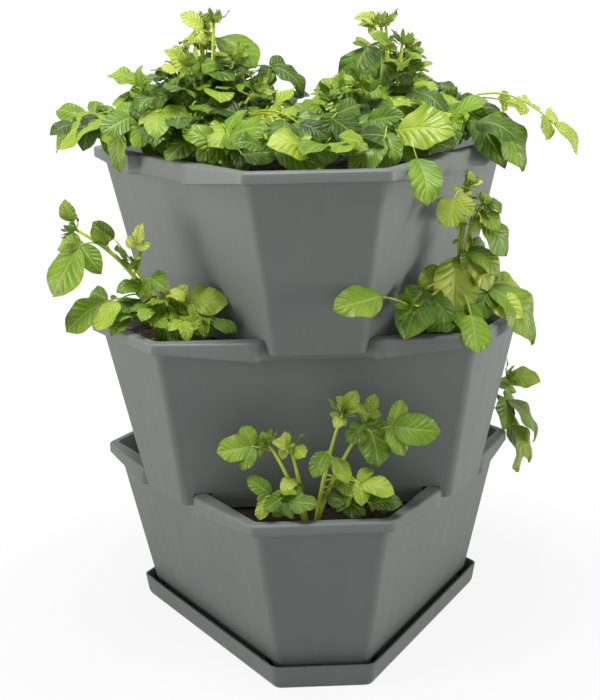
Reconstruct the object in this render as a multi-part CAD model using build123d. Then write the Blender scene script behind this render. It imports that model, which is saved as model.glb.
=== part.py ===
from build123d import *
import os
from math import cos, radians, sin, sqrt

# A three-tier potato tower: three identical plastic tubs stacked on a drip saucer.
# Each tub is a triangle with cut-off corners. The middle tub is turned by 60 degrees,
# so the corners of every tub stand clear of the tub above it as planting pockets.
# Millimetres, +Z up, origin on the ground under the middle of the tower.

# Tub walls, measured square to each wall from the axis of the tower
tub_height = 197.5
side_base = 136.0
side_rim = 175.5
corner_base = 193.3
corner_rim = 231.8
edge_radius = 12.0
edge_steps = 5
wall = 2.5

# Stacking: the floor of a tub rests on the rim of the tub below
stack_overlap = 18.5
floor_thickness = 3.0
corner_cutback = 4.5
stack_clearance = 0.6
middle_turn = 60.0

# Lip round the rim, thickest in the middle of the long sides
lip_overhang = 8.0
lip_swell = 8.0
swell_steps = 8
lip_fall = 3.0
lip_band = 9.0
band_drop = 10.0
rim_land = 1.0

# Notch in the lip, where the corner of the tub above comes down outside the rim
notch_half_width = 57.0
notch_flare = 4.0
notch_setback = 7.0

# Drain holes in the tub floor
drain_diameter = 8.0
drain_sides = 12
drain_circle = 62.0
drain_count = 3
corner_drain_reach = 135.0

# Drip saucer
saucer_height = 25.5
saucer_side_gap = 11.5
saucer_corner_gap = 13.5
saucer_side_flare = 4.0
saucer_corner_flare = 2.9
saucer_wall = 2.5
saucer_chamfer = 5.0
saucer_chamfer_width = 2.5

# Soil and seed potatoes
soil_gap = 2.5
soil_clearance = 0.3
potato_length = 46.0
potato_width = 32.0
potato_sides = 8
potato_depth = 60.0
potato_clearance = 0.3

# Rings along a seed potato and their width, as shares of half its length and width
potato_shape = ((-0.86, 0.52), (-0.45, 0.92), (0.10, 1.0), (0.58, 0.86), (0.90, 0.45))

# Stems and leaves of the potato plants
crown_radius = 6.5
crown_sides = 8
crown_rise = 5.0
stem_radius = 3.6
stem_tip_radius = 1.8
stem_sides = 5
stem_steps = 3
stem_rise = 0.62
stalk_radius = 1.5
stalk_steps = 2
stalk_arch = 0.22
hang_arch = 0.7
shortest_stalk = 0.2
ring_heading = (1, 0.2, 0.1)
leaf_thickness = 1.2
leaf_aspect = 0.62
leaf_crown = 0.10
leaf_fold = 0.22
leaf_overlap = 3.0
leaf_face_out = 0.7
side_leaf_share = 0.62
side_leaf_spread = 0.8
side_leaf_ahead = 0.6
first_pair = 0.92
pair_spacing = 0.5
pair_shrink = 0.2

# Canopy: leaves that shade the middle of a dense plant, flat on top and hanging at the edge
canopy_turn = 137.5
canopy_top_slope = 12.0
canopy_edge_slope = -46.0
canopy_top_share = 0.62
canopy_edge_share = 0.20

# Stations along a leaf blade and its width there, as shares of length and width
blade_shape = ((0.30, 1.0), (0.70, 0.70))

# Heights that follow from the sizes above
saucer_floor = saucer_wall
saucer_side_base = side_base + saucer_side_gap
saucer_corner_base = corner_base + saucer_corner_gap
stack_pitch = tub_height - stack_overlap
floor_bottom = stack_overlap
floor_top = floor_bottom + floor_thickness
soil_below_rim = stack_overlap + soil_gap
soil_top = tub_height - soil_below_rim
lip_edge = tub_height - lip_fall
corner_lip = corner_rim + lip_overhang
side_lip = side_rim + lip_overhang
side_lean = (side_rim - side_base) / tub_height
corner_lean = (corner_rim - corner_base) / tub_height
rim_inside = side_rim - wall
notch_face = side_lip + lip_swell - notch_setback
notch_ledge = tub_height - (floor_bottom - corner_cutback) - stack_clearance
edge_turn = 60
corner_turns = (-90, 30, 150)
side_turns = (-30, 90, -150)


def spin(radial, tangent, turn, height=0.0):
    """A point given by its distances along and across the direction turn."""
    return Vector(radial, tangent, height).rotate(Axis.Z, turn)


def rounded(side, corner, radius, height=0.0):
    """A triangle with cut-off corners: for each of its six edges, a row of points round the edge."""
    half_face = (2 * side - corner) / sqrt(3)
    rows = []
    for turn in corner_turns:
        for end in (-1, 1):
            after = turn if end < 0 else turn + edge_turn
            before = after - edge_turn
            inward = spin(1, 0, before) + spin(1, 0, after)
            centre = spin(corner, end * half_face, turn) - inward * (radius / (1 + cos(radians(edge_turn))))
            turns = [before + edge_turn * step / edge_steps for step in range(edge_steps + 1)]
            rows.append([centre + spin(radius, 0, around, height) for around in turns])
    return rows


def flat(*points):
    """A flat face between its corner points."""
    return Face(Wire.make_polygon(points, close=True))


def frustum(low, high):
    """A body with flat walls between two rings of points."""
    walls = [flat(*low), flat(*high)]
    for index in range(len(low)):
        walls.append(flat(low[index - 1], low[index], high[index], high[index - 1]))
    return Solid(Shell(walls))


def tub_ring(height, inset):
    """Points round the tub wall at a height, moved inward by inset."""
    side = side_base + side_lean * height - inset
    corner = corner_base + corner_lean * height - inset
    return sum(rounded(side, corner, edge_radius - inset, height), [])


def tapered(low, high, inset=0.0):
    """The tapered body between two heights of the tub."""
    return frustum(tub_ring(low, inset), tub_ring(high, inset))


def lip_outline(height):
    """The lip seen from above: its three long sides swell outward."""
    rows = rounded(side_lip, corner_lip, edge_radius, height)
    points = []
    for index, row in enumerate(rows):
        if index % 2 == 0:
            start = rows[index - 1][-1]
            run = row[0] - start
            outward = run.cross(Vector(0, 0, 1)).normalized()
            for step in range(1, swell_steps):
                share = step / swell_steps
                points.append(start + run * share + outward * (lip_swell * 4 * share * (1 - share)))
        points += row
    return points


def lip_ring():
    """The thick lip: bevelled top, upright band and a sloping underside."""
    deepest = lip_fall + lip_band + band_drop + lip_overhang + 2 * lip_swell
    ring = frustum(lip_outline(tub_height - deepest), lip_outline(tub_height))
    half_side = (2 * corner_lip - side_lip) / sqrt(3)
    slope = (band_drop + lip_swell) / (half_side - notch_half_width)
    bevel = lip_fall / (lip_overhang + wall - rim_land)
    for turn in corner_turns:
        inward = spin(-1, 0, turn, 1)
        ring = split(ring, Plane(spin(corner_lip, 0, turn, lip_edge - lip_band), z_dir=inward))
        downward = spin(-bevel, 0, turn, -1)
        ring = split(ring, Plane(spin(corner_lip, 0, turn, lip_edge), z_dir=downward))
    for turn in side_turns:
        downward = spin(-bevel, 0, turn, -1)
        ring = split(ring, Plane(spin(side_lip, 0, turn, lip_edge), z_dir=downward))
        for end in (-1, 1):
            inward = spin(-1, -end * slope, turn, 1)
            start = spin(side_lip, end * half_side, turn, lip_edge - lip_band)
            ring = split(ring, Plane(start, z_dir=inward))
    return ring


def notch(turn):
    """The gap in the lip on one long side, open above and outward."""
    reach = side_lip + 2 * lip_swell
    wide = notch_half_width + notch_flare * (reach - notch_face) / notch_setback
    plan = Polyline(
        (notch_face, -notch_half_width),
        (reach, -wide),
        (reach, wide),
        (notch_face, notch_half_width),
        close=True,
    )
    block = extrude(make_face(plan), tub_height - notch_ledge + lip_fall)
    return Rot(0, 0, turn) * Pos(0, 0, notch_ledge) * block


def rim_slot(turn):
    """A bar of space at one corner, for the rim of the tub below to pass through."""
    inner = rim_inside - side_lean * floor_bottom - stack_clearance
    outer = notch_face + stack_clearance
    length = 2 * corner_base
    bar = Box(outer - inner, length, floor_bottom, align=(Align.MIN, Align.CENTER, Align.MIN))
    return Rot(0, 0, turn) * Pos(inner, 0, 0) * bar


def corner_gap(turn):
    """The cut-back of the foot at one corner."""
    reach = corner_base - edge_radius
    half_face = (2 * side_base - corner_base) / sqrt(3) + edge_radius
    block = Box(
        2 * edge_radius, 2 * half_face, corner_cutback, align=(Align.MIN, Align.CENTER, Align.MIN)
    )
    return Rot(0, 0, turn) * Pos(reach, 0, 0) * block


def make_tub():
    """One tub, standing on z = 0 with a corner towards the front."""
    shell = tapered(0, tub_height) + lip_ring()
    shell -= tapered(floor_top, tub_height, wall)
    shell -= tapered(0, floor_bottom, wall)
    for turn in side_turns:
        shell -= notch(turn)
    for turn in corner_turns:
        shell -= rim_slot(turn)
        shell -= corner_gap(turn)
    drains = [spin(drain_circle, 0, 360 * step / drain_count) for step in range(drain_count)]
    drains += [spin(corner_drain_reach, 0, turn) for turn in corner_turns]
    for place in drains:
        ends = [place + Vector(0, 0, floor_bottom), place + Vector(0, 0, floor_top)]
        shell -= tube(ends, [drain_diameter / 2, drain_diameter / 2], drain_sides)
    return shell


def make_saucer():
    """The drip saucer: a shallow tray with the outline of the tub's foot."""

    def level(height, inset):
        share = height / saucer_height
        side = saucer_side_base + saucer_side_flare * share - inset
        corner = saucer_corner_base + saucer_corner_flare * share - inset
        return sum(rounded(side, corner, edge_radius - inset, height), [])

    foot = [Vector(point.X, point.Y) for point in level(saucer_chamfer, saucer_chamfer_width)]
    tray = frustum(foot, level(saucer_chamfer, 0))
    tray += frustum(level(saucer_chamfer, 0), level(saucer_height, 0))
    return tray - frustum(level(saucer_floor, saucer_wall), level(saucer_height, saucer_wall))


def make_potato(margin=0.0):
    """A seed potato lying along X: rounded ends and a fuller middle, with flat facets."""
    long_half = potato_length / 2 + margin
    short_half = potato_width / 2 + margin
    rings = []
    for share, spread in potato_shape:
        centre = Vector(long_half * share, 0, 0)
        rings.append(ring_points(centre, Vector(1, 0, 0), short_half * spread, potato_sides))
    ends = (Vector(-long_half, 0, 0), Vector(long_half, 0, 0))
    return skin(rings, *ends)


def bend(start, control, end, share):
    """A point on a smooth bend from start to end that leans towards control."""
    return start * (1 - share) ** 2 + control * (2 * share * (1 - share)) + end * share**2


def ring_points(centre, ahead, radius, sides):
    """Corners of a regular ring round a centre, square to the direction ahead."""
    plane = Plane(centre, x_dir=ring_heading, z_dir=ahead)
    spokes = [Vector(radius, 0).rotate(Axis.Z, 360 * step / sides) for step in range(sides)]
    return [plane.from_local_coords(spoke) for spoke in spokes]


def skin(rings, start, end):
    """A closed solid of flat triangles from a start point over rings of corners to an end point."""
    sides = len(rings[0])
    faces = []
    for step in range(sides):
        after = (step + 1) % sides
        faces.append((start, rings[0][after], rings[0][step]))
        faces.append((end, rings[-1][step], rings[-1][after]))
        for low, high in zip(rings, rings[1:]):
            faces.append((low[step], low[after], high[step]))
            faces.append((low[after], high[after], high[step]))
    return Solid(Shell([flat(*points) for points in faces]))


def tube(points, radii, sides):
    """A slender tapering stem through the points."""
    rings = []
    for index, point in enumerate(points):
        before = points[max(index - 1, 0)]
        after = points[min(index + 1, len(points) - 1)]
        rings.append(ring_points(point, after - before, radii[index], sides))
    return skin(rings, points[0], points[-1])


def section(middle, across, upward, half, edge_rise, ridge):
    """Three corners across a leaf or its stalk: both edges and the midrib."""
    left = middle - across * half + upward * edge_rise
    right = middle + across * half + upward * edge_rise
    return [left, middle - upward * ridge, right]


def blade_sections(base, tip, facing, stations):
    """Sections of a leaf blade: pointed oval, arched along its length, folded at its midrib."""
    axis = tip - base
    across = axis.cross(facing).normalized()
    upward = across.cross(axis).normalized()
    sections = []
    for share, spread in stations:
        arch = axis.length * leaf_crown * 4 * share * (1 - share)
        middle = base + axis * share + upward * arch
        half = axis.length * leaf_aspect / 2 * spread
        sections.append(section(middle, across, upward, half, half * leaf_fold, leaf_thickness))
    return sections


def along(points, share):
    """A point on a line through the points, and the direction of the line there."""
    place = share * (len(points) - 1)
    index = min(int(place), len(points) - 2)
    step = points[index + 1] - points[index]
    return points[index] + step * (place - index), step.normalized()


def leaf(stalk, tip, facing, pairs=0):
    """A leaf: a stalk through its points, a blade from its end to the tip, and pairs of side blades."""
    joint = stalk[-1]
    level = (tip - joint).cross(facing).normalized()
    sections = []
    for index, point in enumerate(stalk):
        ahead = ((stalk + [tip])[index + 1] - stalk[max(index - 1, 0)]).normalized()
        across = (level - ahead * level.dot(ahead)).normalized()
        upward = across.cross(ahead)
        sections.append(section(point, across, upward, stalk_radius, stalk_radius, stalk_radius))
    sections += blade_sections(joint, tip, facing, blade_shape)
    root, ahead = along(stalk, 0)
    pieces = [skin(sections, root - ahead * leaf_overlap, tip)]
    for pair in range(pairs):
        root, ahead = along(stalk, first_pair * (1 - pair_spacing * pair / pairs))
        across = ahead.cross(facing).normalized()
        length = (tip - joint).length * side_leaf_share * (1 - pair_shrink * pair)
        for hand in (-1, 1):
            heading = (ahead * side_leaf_ahead + across * (hand * side_leaf_spread)).normalized()
            side_tip = root + heading * length
            pieces.append(skin(blade_sections(root, side_tip, facing, blade_shape), root, side_tip))
    return pieces


def placed_leaf(start, tip, blade_length, pairs, outward):
    """A leaf on an arched stalk that ends at a given tip."""
    run = tip - start
    arch = run.length * stalk_arch + max(0, start.Z - tip.Z) * hang_arch
    control = (start + tip) / 2 + Vector(0, 0, arch)
    joint_share = max(shortest_stalk, 1 - blade_length / run.length)
    shares = [joint_share * step / stalk_steps for step in range(stalk_steps + 1)]
    facing = (outward * leaf_face_out + Vector(0, 0, 1)).normalized()
    return leaf([bend(start, control, tip, share) for share in shares], tip, facing, pairs)


def canopy_leaf(stem, canopy, anchor, step):
    """One leaf of a canopy, on a stalk from the stem."""
    spread = sqrt((step + 0.5) / canopy["count"])
    turn = radians(canopy_turn * step)
    reach_x, reach_y = canopy["reach"]
    low, high = canopy["height"]
    offset = Vector(reach_x * cos(turn), reach_y * sin(turn))
    joint = anchor + Vector(*canopy["middle"], high + (low - high) * spread) + offset * spread
    slope = radians(canopy_top_slope + (canopy_edge_slope - canopy_top_slope) * spread)
    away = offset.normalized()
    upright = Vector(0, 0, 1)
    tip = joint + (away * cos(slope) + upright * sin(slope)) * canopy["blade"]
    start = along(stem, canopy_top_share + (canopy_edge_share - canopy_top_share) * spread)[0]
    control = (start + joint) / 2 + upright * ((joint - start).length * stalk_arch)
    stalk = [bend(start, control, joint, mark / stalk_steps) for mark in range(stalk_steps + 1)]
    return leaf(stalk, tip, upright * cos(slope) - away * sin(slope))


def make_plant(anchor, root, plant, outward):
    """One potato plant: a crown at the soil, stems and leaves, grown as one piece."""
    top = root + Vector(0, 0, crown_rise)
    bottom = root - Vector(0, 0, potato_depth - potato_width / 2)
    pieces = [tube([bottom, top], [crown_radius, crown_radius], crown_sides)]
    stems = []
    for offset in plant["stems"]:
        tip = anchor + Vector(offset)
        control = root + Vector(0, 0, (tip.Z - root.Z) * stem_rise)
        points = [bend(root, control, tip, step / stem_steps) for step in range(stem_steps + 1)]
        taper = (stem_tip_radius - stem_radius) / stem_steps
        radii = [stem_radius + taper * step for step in range(stem_steps + 1)]
        pieces.append(tube(points, radii, stem_sides))
        stems.append(points)
    for stem, share, offset, blade_length, pairs in plant["leaves"]:
        start = along(stems[stem], share)[0]
        pieces += placed_leaf(start, anchor + Vector(offset), blade_length, pairs, outward)
    for canopy in plant["canopies"]:
        for step in range(canopy["count"]):
            pieces += canopy_leaf(stems[canopy["stem"]], canopy, anchor, step)
    return pieces[0].fuse(*pieces[1:])


# The six plants. Each one is placed from the middle of a corner's lip, at rim height:
# root is where it leaves the soil (x, y), stems are the tips of its stems (x, y, z), and
# each leaf is (stem, share along the stem, leaf tip, length of the end blade, side pairs).
plants = {
    "lower_front": {
        "tier": 0,
        "turn": -90,
        "root": (-10, 48),
        "stems": ((-30, 40, 68), (24, 36, 105), (47, 40, 90), (-52, 40, 72)),
        "canopies": (),
        "leaves": (
            (3, 0.90, (-106, 35, 68), 36, 1),
            (2, 0.85, (124, 28, 86), 50, 1),
            (1, 1.00, (38, 25, 132), 30, 2),
            (1, 0.95, (14, 16, 98), 26, 1),
            (2, 1.00, (60, 20, 52), 36, 1),
            (2, 1.00, (58, 35, 125), 26, 1),
            (0, 1.00, (-16, 18, 66), 34, 0),
            (0, 1.00, (-48, 24, 80), 24, 1),
            (0, 0.55, (-40, 18, 28), 30, 0),
            (0, 0.25, (-50, 24, 2), 36, 0),
            (1, 0.20, (46, 24, -2), 46, 0),
            (1, 0.35, (40, 18, 22), 30, 0),
            (1, 0.55, (28, 15, 38), 32, 0),
            (1, 0.60, (-8, 15, 45), 28, 0),
            (3, 1.00, (-58, 30, 90), 24, 1),
        ),
    },
    "lower_right": {
        "tier": 0,
        "turn": 30,
        "root": (-33, -42),
        "stems": ((37, -48, 62),),
        "canopies": (),
        "leaves": (
            (0, 0.90, (77, -60, 62), 40, 0),
            (0, 0.85, (51, -45, 42), 30, 0),
            (0, 0.60, (75, -58, -17), 44, 1),
            (0, 0.66, (60, -46, -62), 36, 1),
            (0, 0.70, (43, -54, 5), 22, 0),
            (0, 0.45, (66, -60, -45), 30, 0),
        ),
    },
    "middle_left": {
        "tier": 1,
        "turn": -90,
        "root": (45, 20),
        "stems": ((-39, 2, 109), (21, 0, 66), (57, -2, 26)),
        "canopies": (),
        "leaves": (
            (0, 1.00, (-49, -2, 141), 30, 0),
            (0, 0.80, (-69, -10, 42), 42, 1),
            (0, 0.75, (-22, -5, 111), 34, 0),
            (0, 0.60, (4, -5, 92), 26, 0),
            (1, 1.00, (29, -2, 115), 30, 1),
            (1, 0.90, (-22, 8, 116), 34, 0),
            (1, 0.70, (1, -10, 45), 36, 1),
            (1, 0.45, (3, -15, 23), 34, 0),
            (0, 0.30, (-55, -8, 3), 44, 1),
            (0, 0.35, (-21, -20, 5), 30, 0),
            (2, 1.00, (75, -10, 49), 28, 2),
            (2, 0.80, (117, -20, 31), 40, 1),
            (2, 0.50, (99, -25, -3), 26, 1),
            (2, 0.60, (57, -30, 3), 26, 2),
            (1, 0.80, (57, -20, 45), 26, 1),
        ),
    },
    "middle_right": {
        "tier": 1,
        "turn": 30,
        "root": (-57, 15),
        "stems": ((-42, 8, 146), (-28, 2, 126), (-112, -72, 34)),
        "canopies": (),
        "leaves": (
            (0, 0.92, (-76, -58, 112), 30, 1),
            (1, 1.00, (-7, 2, 116), 36, 1),
            (1, 0.80, (0, 5, 69), 34, 0),
            (0, 0.95, (-42, -5, 161), 26, 2),
            (0, 0.80, (-77, -25, 111), 24, 1),
            (0, 0.45, (-60, -25, 7), 52, 0),
            (0, 0.50, (-7, -2, 51), 46, 1),
            (0, 0.35, (-97, -25, 46), 30, 1),
            (2, 1.00, (-193, -120, 46), 58, 0),
            (0, 0.25, (-119, -85, 6), 48, 1),
            (0, 0.30, (-118, -62, 20), 40, 0),
            (1, 0.30, (28, -12, -24), 60, 1),
            (1, 0.25, (-46, -84, -14), 34, 0),
            (1, 0.50, (-20, -5, 33), 34, 1),
        ),
    },
    "upper_left": {
        "tier": 2,
        "turn": 150,
        "root": (102, -125),
        "stems": ((95, -120, 132), (137, -110, 82), (32, -130, 57), (147, -180, 32)),
        "canopies": (
            {
                "stem": 0, "middle": (94, -138), "reach": (80, 98), "height": (40, 102),
                "count": 26, "blade": 44,
            },
            {
                "stem": 3, "middle": (158, -232), "reach": (26, 46), "height": (24, 44),
                "count": 6, "blade": 44,
            },
        ),
        "leaves": (
            (0, 1.00, (107, -135, 146), 24, 1),
            (0, 0.95, (79, -120, 97), 22, 1),
            (0, 0.85, (155, -150, 90), 48, 0),
            (2, 1.00, (27, -120, 92), 40, 1),
            (2, 0.80, (-5, -130, 52), 42, 0),
            (2, 0.60, (-69, -140, 2), 60, 1),
            (1, 1.00, (207, -140, 60), 40, 1),
            (3, 1.00, (207, -230, 22), 70, 0),
            (3, 0.70, (107, -270, -2), 44, 0),
            (2, 0.50, (57, -232, 4), 46, 0),
            (0, 0.60, (97, -180, 34), 42, 1),
            (0, 0.50, (29, -160, 38), 46, 1),
            (3, 0.80, (256, -285, 8), 70, 0),
            (0, 0.70, (117, -60, 82), 44, 1),
            (1, 0.70, (167, -50, 42), 44, 1),
            (2, 0.70, (17, -50, 42), 46, 1),
            (0, 0.40, (77, -40, 27), 44, 1),
        ),
    },
    "upper_right": {
        "tier": 2,
        "turn": 30,
        "root": (-115, -125),
        "stems": ((-122, -120, 127), (-95, -125, 107), (-47, -140, 42), (-147, -180, 52)),
        "canopies": (
            {
                "stem": 0, "middle": (-112, -138), "reach": (78, 98), "height": (40, 98),
                "count": 26, "blade": 44,
            },
        ),
        "leaves": (
            (0, 1.00, (-152, -130, 139), 26, 1),
            (1, 1.00, (-89, -130, 122), 30, 1),
            (0, 0.80, (-167, -155, 50), 48, 0),
            (0, 0.76, (-132, -168, 58), 42, 0),
            (1, 0.85, (-79, -135, 87), 36, 1),
            (1, 0.50, (-127, -210, 20), 50, 0),
            (2, 0.80, (-42, -150, 62), 44, 0),
            (2, 1.00, (-11, -145, 20), 56, 0),
            (2, 0.90, (-17, -165, 14), 48, 0),
            (3, 0.50, (-109, -260, -2), 40, 0),
            (2, 0.60, (-57, -220, 8), 44, 1),
            (3, 0.50, (-103, -362, -34), 46, 0),
            (2, 0.80, (6, -186, -22), 54, 0),
            (2, 0.90, (33, -160, -28), 50, 0),
            (2, 1.00, (93, -150, -13), 30, 2),
            (2, 1.00, (38, -140, 32), 26, 1),
            (3, 1.00, (-197, -160, 67), 30, 1),
            (0, 0.70, (-97, -50, 82), 46, 1),
            (1, 0.60, (-57, -45, 47), 46, 1),
            (0, 0.50, (-157, -40, 42), 44, 1),
            (2, 0.60, (-17, -60, 27), 44, 1),
        ),
    },
}

tier_names = ("lower", "middle", "upper")
nodes = {"drip_saucer": make_saucer()}
tub = make_tub()
soils = []
for tier, name in enumerate(tier_names):
    turn = middle_turn * (tier % 2)
    foot = Pos(0, 0, saucer_floor + stack_pitch * tier) * Rot(0, 0, turn)
    nodes[name + "_tier"] = foot * tub
    soils.append(foot * tapered(floor_top, soil_top, wall + soil_clearance))

for name, plant in plants.items():
    tier = plant["tier"]
    turn = plant["turn"] - middle_turn * (tier % 2)
    anchor = spin(corner_lip, 0, turn, saucer_floor + stack_pitch * tier + tub_height)
    root = anchor + Vector(*plant["root"], -soil_below_rim)
    nodes[name + "_plant"] = make_plant(anchor, root, plant, spin(1, 0, turn))
    bed = root - Vector(0, 0, potato_depth)
    seat = Pos(bed) * Rot(0, 0, turn + 90)
    nodes[name + "_seed_potato"] = seat * make_potato()
    bore_radius = crown_radius + soil_clearance
    bore = tube([bed, root], [bore_radius, bore_radius], crown_sides)
    soils[tier] = soils[tier] - bore - seat * make_potato(potato_clearance)

for name, soil in zip(tier_names, soils):
    nodes[name + "_soil"] = soil

os.makedirs("parts", exist_ok=True)
for name, shape in nodes.items():
    export_step(shape, "parts/" + name + ".step")
    print(name, "solids", len(shape.solids()), "volume", round(shape.volume), "valid", shape.is_valid)
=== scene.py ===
import math
import random

import bmesh
import bpy
from mathutils import Matrix, Vector, noise


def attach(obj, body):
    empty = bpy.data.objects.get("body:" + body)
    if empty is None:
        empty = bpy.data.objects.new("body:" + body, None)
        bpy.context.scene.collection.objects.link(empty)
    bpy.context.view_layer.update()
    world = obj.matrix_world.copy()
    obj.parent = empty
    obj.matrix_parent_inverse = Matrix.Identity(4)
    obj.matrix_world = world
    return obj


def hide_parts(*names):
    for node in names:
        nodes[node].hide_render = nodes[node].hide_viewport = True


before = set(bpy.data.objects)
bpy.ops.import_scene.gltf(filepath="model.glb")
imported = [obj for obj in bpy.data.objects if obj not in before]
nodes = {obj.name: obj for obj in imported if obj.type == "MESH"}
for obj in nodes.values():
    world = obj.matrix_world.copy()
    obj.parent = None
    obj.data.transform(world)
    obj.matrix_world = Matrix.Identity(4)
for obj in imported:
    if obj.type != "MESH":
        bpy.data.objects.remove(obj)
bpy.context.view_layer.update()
scene = bpy.context.scene
MM = 0.001
UPRIGHT = Vector((0, 0, 1))
FULL_TURN = 6.28

# Sizes of the tubs, in millimetres, square to the walls from the axis of the tower
STACK = 179.0
FOOT = 2.5
SIDE_BASE, SIDE_LEAN = 136.0, 0.2
CORNER_BASE, CORNER_LEAN = 193.3, 0.195
CORNER_LIP = 239.8
TUB_HEIGHT = 197.5
WALL = 2.5
FLOOR_TOP = 21.5
SOIL_TOP = 176.5
TIERS = ("lower", "middle", "upper")
CORNERS = (-90, 30, 150)
SIDES = (-30, 90, -150)


def tier_foot(tier):
    return FOOT + STACK * tier


def tier_turn(tier):
    """Degrees by which a tub is turned: every other one has a side to the front."""
    return 60 * (tier % 2)


def ray(turn, reach=1.0, height=0.0):
    """The point at a distance from the axis, in a direction in degrees."""
    angle = math.radians(turn)
    return Vector((math.cos(angle) * reach, math.sin(angle) * reach, height))


def lerp(a, b, t):
    return a + (b - a) * t


def add_object(name, data):
    piece = bpy.data.objects.new(name, data)
    scene.collection.objects.link(piece)
    return piece


# Materials


class Nodes:
    """A short way to write the nodes of a material or a world."""

    def __init__(self, owner):
        owner.use_nodes = True
        self.owner = owner
        self.tree = owner.node_tree
        self.shader = self.tree.nodes.get("Principled BSDF")
        self.out = self.tree.nodes.get("Material Output")

    def add(self, kind, **values):
        node = self.tree.nodes.new("ShaderNode" + kind)
        for key, value in values.items():
            if hasattr(node, key):
                setattr(node, key, value)
            else:
                self.put(node.inputs[key], value)
        return node

    def put(self, socket, value):
        if isinstance(value, bpy.types.NodeSocket):
            self.tree.links.new(value, socket)
        else:
            socket.default_value = value

    def set(self, name, value):
        self.put(self.shader.inputs[name], value)

    def math(self, operation, a, b=0.0):
        node = self.add("Math", operation=operation)
        self.put(node.inputs[0], a)
        self.put(node.inputs[1], b)
        return node.outputs[0]

    def mix(self, factor, a, b):
        node = self.add("Mix", data_type="RGBA")
        self.put(node.inputs[0], factor)
        self.put(node.inputs[6], a)
        self.put(node.inputs[7], (*b, 1.0) if isinstance(b, tuple) else b)
        return node.outputs[2]

    def mix_shaders(self, factor, first, second):
        node = self.add("MixShader")
        for socket, value in zip(node.inputs, (factor, first, second)):
            self.put(socket, value)
        self.put(self.out.inputs["Surface"], node.outputs[0])

    def ramp(self, factor, *stops):
        node = self.add("ValToRGB")
        band = node.color_ramp
        while len(band.elements) < len(stops):
            band.elements.new(0.5)
        for element, (place, colour) in zip(band.elements, stops):
            element.position = place
            element.color = (*colour, 1.0)
        self.put(node.inputs[0], factor)
        return node.outputs[0]

    def span(self, value, low, high, to_low=0.0, to_high=1.0):
        """Takes the range from low to high smoothly to another range."""
        node = self.add("MapRange", interpolation_type="SMOOTHSTEP")
        for socket, number in zip(node.inputs, (value, low, high, to_low, to_high)):
            self.put(socket, number)
        return node.outputs[0]

    def where(self):
        return self.add("TexCoord").outputs["Object"]

    def noise(self, where, scale, detail=3.0, rough=0.55):
        node = self.add("TexNoise", Vector=where, Scale=scale, Detail=detail, Roughness=rough)
        return node.outputs["Fac"]

    def bump(self, height, strength, distance, normal=None):
        node = self.add("Bump", Height=height, Strength=strength, Distance=distance)
        if normal is not None:
            self.put(node.inputs["Normal"], normal)
        return node.outputs[0]

    def seen(self):
        """One for the rays that show a thing itself, zero for those that light others."""
        rays = self.add("LightPath").outputs
        straight = self.math("MAXIMUM", rays["Is Camera Ray"], rays["Is Glossy Ray"])
        return self.math("MAXIMUM", straight, rays["Is Transmission Ray"])


def grey(value):
    return (value, value, value)


def plastic_material():
    n = Nodes(bpy.data.materials.new("grey_plastic"))
    where = n.where()
    cloud = n.noise(where, scale=7.0, detail=4.0)
    # Streaks from the mould run up and down
    streak_map = n.add("Mapping", Vector=where, Scale=(60, 60, 5))
    streak = n.noise(streak_map.outputs[0], scale=1.0)
    speck = n.noise(where, scale=420.0, detail=2.0)
    colour = n.ramp(cloud, (0.3, (0.123, 0.141, 0.138)), (0.7, (0.138, 0.156, 0.152)))
    colour = n.mix(n.span(streak, 0.5, 0.75, 0.0, 0.22), colour, (0.148, 0.158, 0.150))
    colour = n.mix(n.span(speck, 0.66, 0.74, 0.0, 0.3), colour, (0.165, 0.172, 0.163))
    colour = n.mix(n.span(speck, 0.36, 0.28, 0.0, 0.3), colour, (0.084, 0.094, 0.092))
    n.set("Base Color", colour)
    dull = n.span(cloud, 0.3, 0.7, 0.50, 0.60)
    n.set("Roughness", n.math("ADD", dull, n.span(streak, 0.45, 0.8, 0.0, -0.07)))
    n.set("Specular IOR Level", 0.42)
    grain = n.noise(where, scale=1500.0, detail=2.0)
    waves = n.noise(where, scale=16.0, detail=2.0)
    edge = n.add("Bevel", samples=4, Radius=0.0011).outputs[0]
    normal = n.bump(waves, 0.12, 0.004, edge)
    n.set("Normal", n.bump(grain, 0.16, 0.0004, normal))
    return n.owner


def soil_material():
    n = Nodes(bpy.data.materials.new("soil"))
    where = n.where()
    tone = n.add("Attribute", attribute_name="tone").outputs["Fac"]
    fine = n.noise(where, scale=260.0, detail=5.0, rough=0.65)
    coarse = n.noise(where, scale=55.0, detail=4.0)
    colour = n.ramp(
        fine,
        (0.3, (0.010, 0.006, 0.004)),
        (0.55, (0.038, 0.023, 0.014)),
        (0.8, (0.085, 0.055, 0.034)),
    )
    colour = n.mix(n.span(coarse, 0.35, 0.7, 0.0, 0.5), colour, (0.022, 0.013, 0.008))
    # Some crumbs are pale bits of bark
    colour = n.mix(n.span(tone, 0.75, 0.95, 0.0, 0.85), colour, (0.26, 0.18, 0.11))
    n.set("Base Color", colour)
    n.set("Roughness", n.span(fine, 0.3, 0.7, 0.75, 0.98))
    n.set("Specular IOR Level", 0.25)
    normal = n.bump(coarse, 0.6, 0.006)
    n.set("Normal", n.bump(fine, 0.8, 0.0025, normal))
    return n.owner


# Side veins in the length of a leaflet, drawn by the material and shaped in the mesh
SIDE_VEINS = 6.5


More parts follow.
